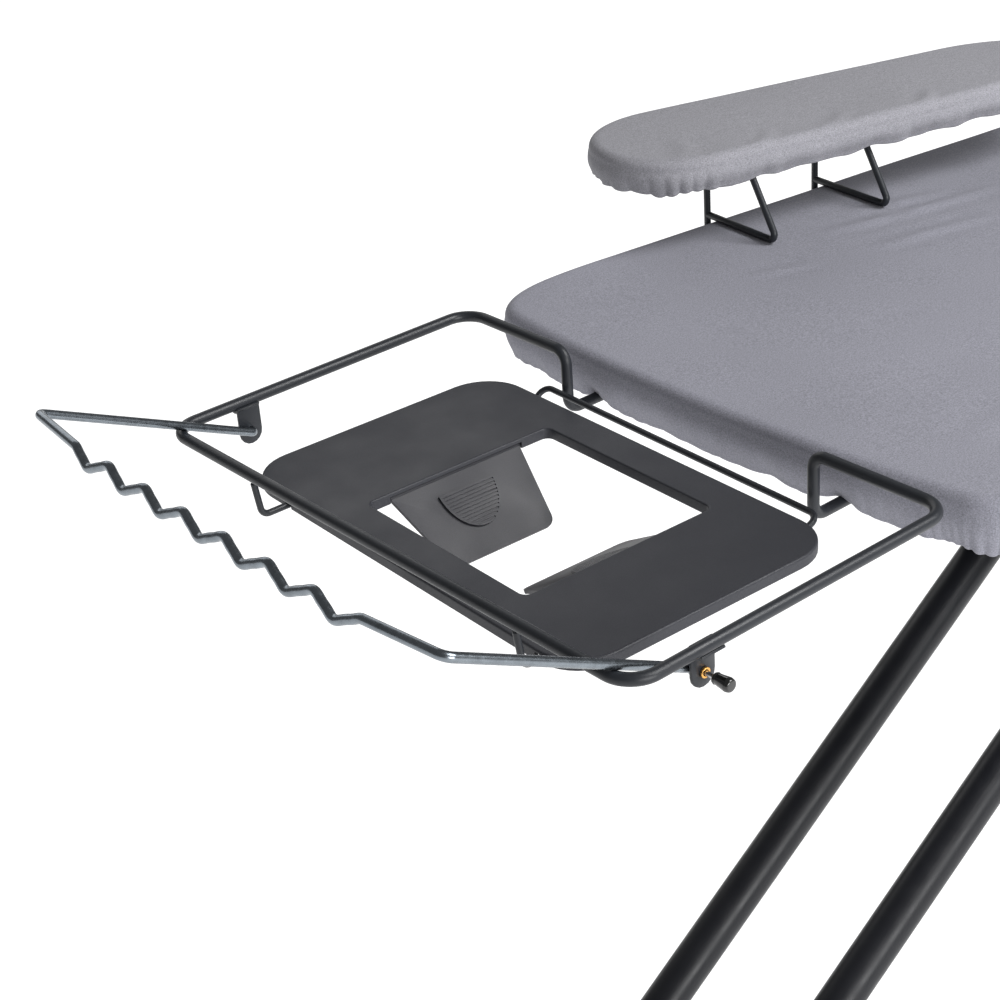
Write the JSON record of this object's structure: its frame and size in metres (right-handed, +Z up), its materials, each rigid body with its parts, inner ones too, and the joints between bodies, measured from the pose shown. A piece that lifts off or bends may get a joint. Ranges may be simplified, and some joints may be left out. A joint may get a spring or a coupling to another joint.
{
  "type": "folding ironing board with sleeve board",
  "caption": "Folding ironing board with a padded fabric cover, hinged sleeve board, wire iron rest with flapped tray, wavy hanger rail and crossed tube legs.",
  "frame": {"origin": "on the floor, under the middle of the object's box", "axes": "+X from the iron rest to the nose, +Y to the side with the sleeve board, +Z up"},
  "size_m": [1.5927, 0.5171, 0.819],
  "materials": {
    "frame_black": "satin anthracite powder coat",
    "cover_fabric": "heather grey woven cotton",
    "felt": "needled felt",
    "tray_plastic": "fine grained charcoal moulding",
    "zinc_wire": "bright zinc plate",
    "steel": "plated",
    "brass": "turned",
    "black_plastic": "smooth moulded"
  },
  "bodies": {
    "board": {"board_cover": "cover_fabric", "board_felt": "felt", "board_deck": "frame_black", "tail_channel": "frame_black", "leg_rack": "frame_black", "rest_frame": "frame_black", "rest_saddle_far": "frame_black", "rest_saddle_near": "frame_black", "rest_rivet_far_1": "steel", "rest_rivet_far_2": "steel", "rest_rivet_near_1": "steel", "rest_rivet_near_2": "steel", "tray_wire": "frame_black", "iron_tray": "tray_plastic", "hanger_bracket_far": "frame_black", "hanger_bracket_near": "frame_black", "hanger_bush": "brass", "leg_clevis_far": "frame_black", "leg_clevis_near": "frame_black", "leg_pin_far": "steel", "leg_pin_near": "steel", "sleeve_clip_1": "frame_black", "sleeve_clip_2": "frame_black"},
    "hanger_rail": {"hanger_rail": "zinc_wire"},
    "release_pin": {"hanger_pin": "steel", "hanger_knob": "black_plastic"},
    "flap_far": {"tray_flap_far": "tray_plastic"},
    "flap_near": {"tray_flap_near": "tray_plastic"},
    "leg_a": {"leg_a_tube_far": "frame_black", "leg_a_tube_near": "frame_black", "leg_a_foot": "frame_black", "leg_a_cap_far": "black_plastic", "leg_a_cap_near": "black_plastic", "cross_bolt_far": "steel", "cross_bolt_near": "steel", "cross_spacer_far": "black_plastic", "cross_spacer_near": "black_plastic"},
    "leg_b": {"leg_b_tube_far": "frame_black", "leg_b_tube_near": "frame_black", "leg_b_foot": "frame_black", "leg_b_cap_far": "black_plastic", "leg_b_cap_near": "black_plastic", "slide_axle": "steel", "slide_roller": "black_plastic"},
    "height_lever": {"height_lever": "frame_black", "height_grip": "black_plastic", "height_catch": "frame_black"},
    "sleeve_board": {"sleeve_cover": "cover_fabric", "sleeve_felt": "felt", "sleeve_deck": "frame_black", "sleeve_stand_1": "frame_black", "sleeve_stand_2": "frame_black", "sleeve_strap_1": "frame_black", "sleeve_strap_2": "frame_black", "sleeve_hinge_rod": "steel"}
  },
  "joints": [
    {"name": "leg_fold", "type": "hinge", "parent": "board", "child": "leg_a", "pos_m": [-0.3686, -0.0235, 0.694], "axis": [0, 1, 0], "range_deg": [-32.5, 12.4]},
    {"name": "leg_cross", "type": "hinge", "parent": "leg_a", "child": "leg_b", "pos_m": [-0.0579, -0.0235, 0.48796], "axis": [0, 1, 0], "range_deg": [-24.9, 65.1]},
    {"name": "hanger_rail_fold", "type": "hinge", "parent": "board", "child": "hanger_rail", "pos_m": [-0.6386, -0.0235, 0.7395], "axis": [0, 1, 0], "range_deg": [0, 154]},
    {"name": "release_pin_pull", "type": "slide", "parent": "board", "child": "release_pin", "axis": [0, -1, 0], "range_m": [0, 0.006], "stiffness_N_per_m": 400, "springref_m": -0.004},
    {"name": "tray_flap_far_tilt", "type": "hinge", "parent": "board", "child": "flap_far", "pos_m": [-0.57504, 0.05196, 0.7291], "axis": [-0.9994, 0.0339, 0], "range_deg": [-6, 44]},
    {"name": "tray_flap_near_tilt", "type": "hinge", "parent": "board", "child": "flap_near", "pos_m": [-0.58016, -0.09896, 0.7291], "axis": [0.9994, -0.0339, 0], "range_deg": [-22, 28]},
    {"name": "height_lever_press", "type": "hinge", "parent": "board", "child": "height_lever", "pos_m": [0.2924, -0.0235, 0.7265], "axis": [0, 1, 0], "range_deg": [0, 18], "stiffness_Nm_per_rad": 1.2, "springref_deg": -14.32},
    {"name": "sleeve_board_fold", "type": "hinge", "parent": "board", "child": "sleeve_board", "pos_m": [-0.2203, 0.1903, 0.712], "axis": [-0.9948, 0.1015, 0], "range_deg": [0, 168]}
  ],
  "couplings": [
    {"joint": "leg_cross", "follows": "leg_fold", "ratio": -2}
  ]
}
